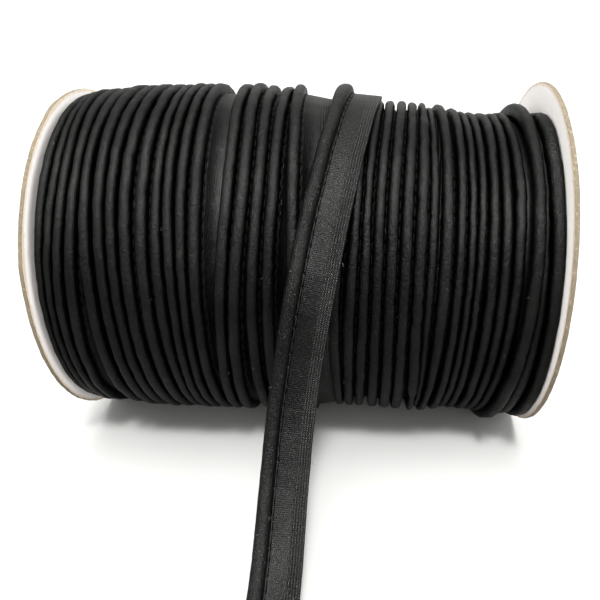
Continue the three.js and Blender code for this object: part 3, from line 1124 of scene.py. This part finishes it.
class PIPING_OT_turns(bpy.types.Operator):
    """Make the wound turns and the dark body below them"""

    bl_idname = "piping.turns"
    bl_label = "Wound Turns"

    def execute(self, context):
        trim, _, _ = settings(context)
        material = satin("piping satin, wound", trim, weave=0.7, seam=1.0)
        sweep = cloth_sweep()
        layers = (("turns_upper", UPPER_LAYER, UPPER_START, join_knot(trim)),
                  ("turns_lower", LOWER_LAYER[::-1], LOWER_START, None))
        for name, turns, start, last in layers:
            route = wound_cord(turns, trim, start, last)
            section = tape_section(trim, bead_points=15, tape_points=3, fullness=0.76)
            piece = sweep.run(line_object(name + "_route", route["place"], **route), name,
                              section=section, bead_diameter=trim.bead_diameter,
                              waver_scale=WAVER_SCALE, floor_gap=FLOOR_GAP * MM, material=material)
            bpy.data.objects.remove(section)
            face_out(piece)
            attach(piece, "root")
            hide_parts("winding")
            # Painted shade: the wound turns' thread is darkened to 0.35 of its colour, so that the
            # stitches sink into the dark grooves.
            sew(name + "_seam", route, trim, painted_shade_factor=0.35)
            scatter_lint(piece, name + "_lint", trim, density=9000.0)
        base = link("winding_base", winding_base_mesh(trim))
        base.data.materials.append(satin("piping satin, below", trim, weave=0.7, seam=0.0))
        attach(base, "root")
        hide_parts("winding")
        return {"FINISHED"}


def sew(name, route, trim, painted_shade_factor):
    """A row of stitches along the seam of a route. The last argument scales the thread's colour and gloss;
    below 1 it is painted shade, which darkens the stitches down in the wound turns' grooves.
    """
    row = line_object(name + "_route", seam_points(route, trim))
    stitches = stitch_row().run(row, name, pitch=trim.stitch_pitch,
                                thread_diameter=trim.thread_diameter,
                                material=thread_material(trim, painted_shade_factor))
    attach(stitches, "root")
    return stitches


def scatter_lint(piece, name, trim, density):
    """Loose fibres on a cloth piece, as a piece of their own."""
    source = bpy.data.objects.new(name + "_source", piece.data)
    bpy.context.scene.collection.objects.link(source)
    fibres = lint().run(source, name, density=density, crest=trim.bead_diameter * 0.32,
                        free_edge=trim.tape_width - trim.bead_diameter / 2 - 0.1 * MM,
                        fibre_length=0.8 * MM, fibre_thickness=0.07 * MM,
                        material=lint_material())
    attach(fibres, "root")
    return fibres


class PIPING_OT_discs(bpy.types.Operator):
    """Make the two card discs of the spool"""

    bl_idname = "piping.discs"
    bl_label = "Spool Discs"

    def execute(self, context):
        _, spool, _ = settings(context)
        # The board on the outer faces carries painted shade: it is darker than the paper to offset the
        # stronger light there.
        paper, card, board = paper_material(spool), card_material(spool), board_material_with_painted_shade(spool)
        reach = (spool.spool_length - spool.disc_thickness) / 2 / MM
        for node, x in (("disc_left", -reach), ("disc_right", reach)):
            piece = link(node + "_card", disc_mesh(node, x, spool))
            piece.data.materials.append(paper)
            piece.data.materials.append(card)
            piece.data.materials.append(board)
            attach(piece, "root")
            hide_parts(node)
        return {"FINISHED"}


def face_out(piece):
    """Turns a closed shell's faces outwards."""
    mesh = bmesh.new()
    mesh.from_mesh(piece.data)
    bmesh.ops.recalc_face_normals(mesh, faces=mesh.faces)
    mesh.to_mesh(piece.data)
    mesh.free()


class PIPING_PT_panel(bpy.types.Panel):
    """The roll's pieces, in the order they are made"""

    bl_idname = "PIPING_PT_panel"
    bl_label = "Roll of Piping Trim"
    bl_space_type = "VIEW_3D"
    bl_region_type = "UI"
    bl_category = "Piping"

    def draw(self, context):
        for operator in OPERATORS:
            self.layout.operator(operator.bl_idname)


OPERATORS = (PIPING_OT_stage, PIPING_OT_loose_end, PIPING_OT_turns, PIPING_OT_discs)
CLASSES = (TrimSettings, SpoolSettings, StageSettings, *OPERATORS, PIPING_PT_panel)


def register():
    for cls in CLASSES:
        bpy.utils.register_class(cls)
    bpy.types.Scene.piping_trim = bpy.props.PointerProperty(type=TrimSettings)
    bpy.types.Scene.piping_spool = bpy.props.PointerProperty(type=SpoolSettings)
    bpy.types.Scene.piping_stage = bpy.props.PointerProperty(type=StageSettings)


def unregister():
    del bpy.types.Scene.piping_trim
    del bpy.types.Scene.piping_spool
    del bpy.types.Scene.piping_stage
    for cls in reversed(CLASSES):
        bpy.utils.unregister_class(cls)


def main():
    register()
    bpy.ops.piping.stage()
    bpy.ops.piping.loose_end()
    bpy.ops.piping.turns()
    bpy.ops.piping.discs()


if __name__ == "__main__":
    main()
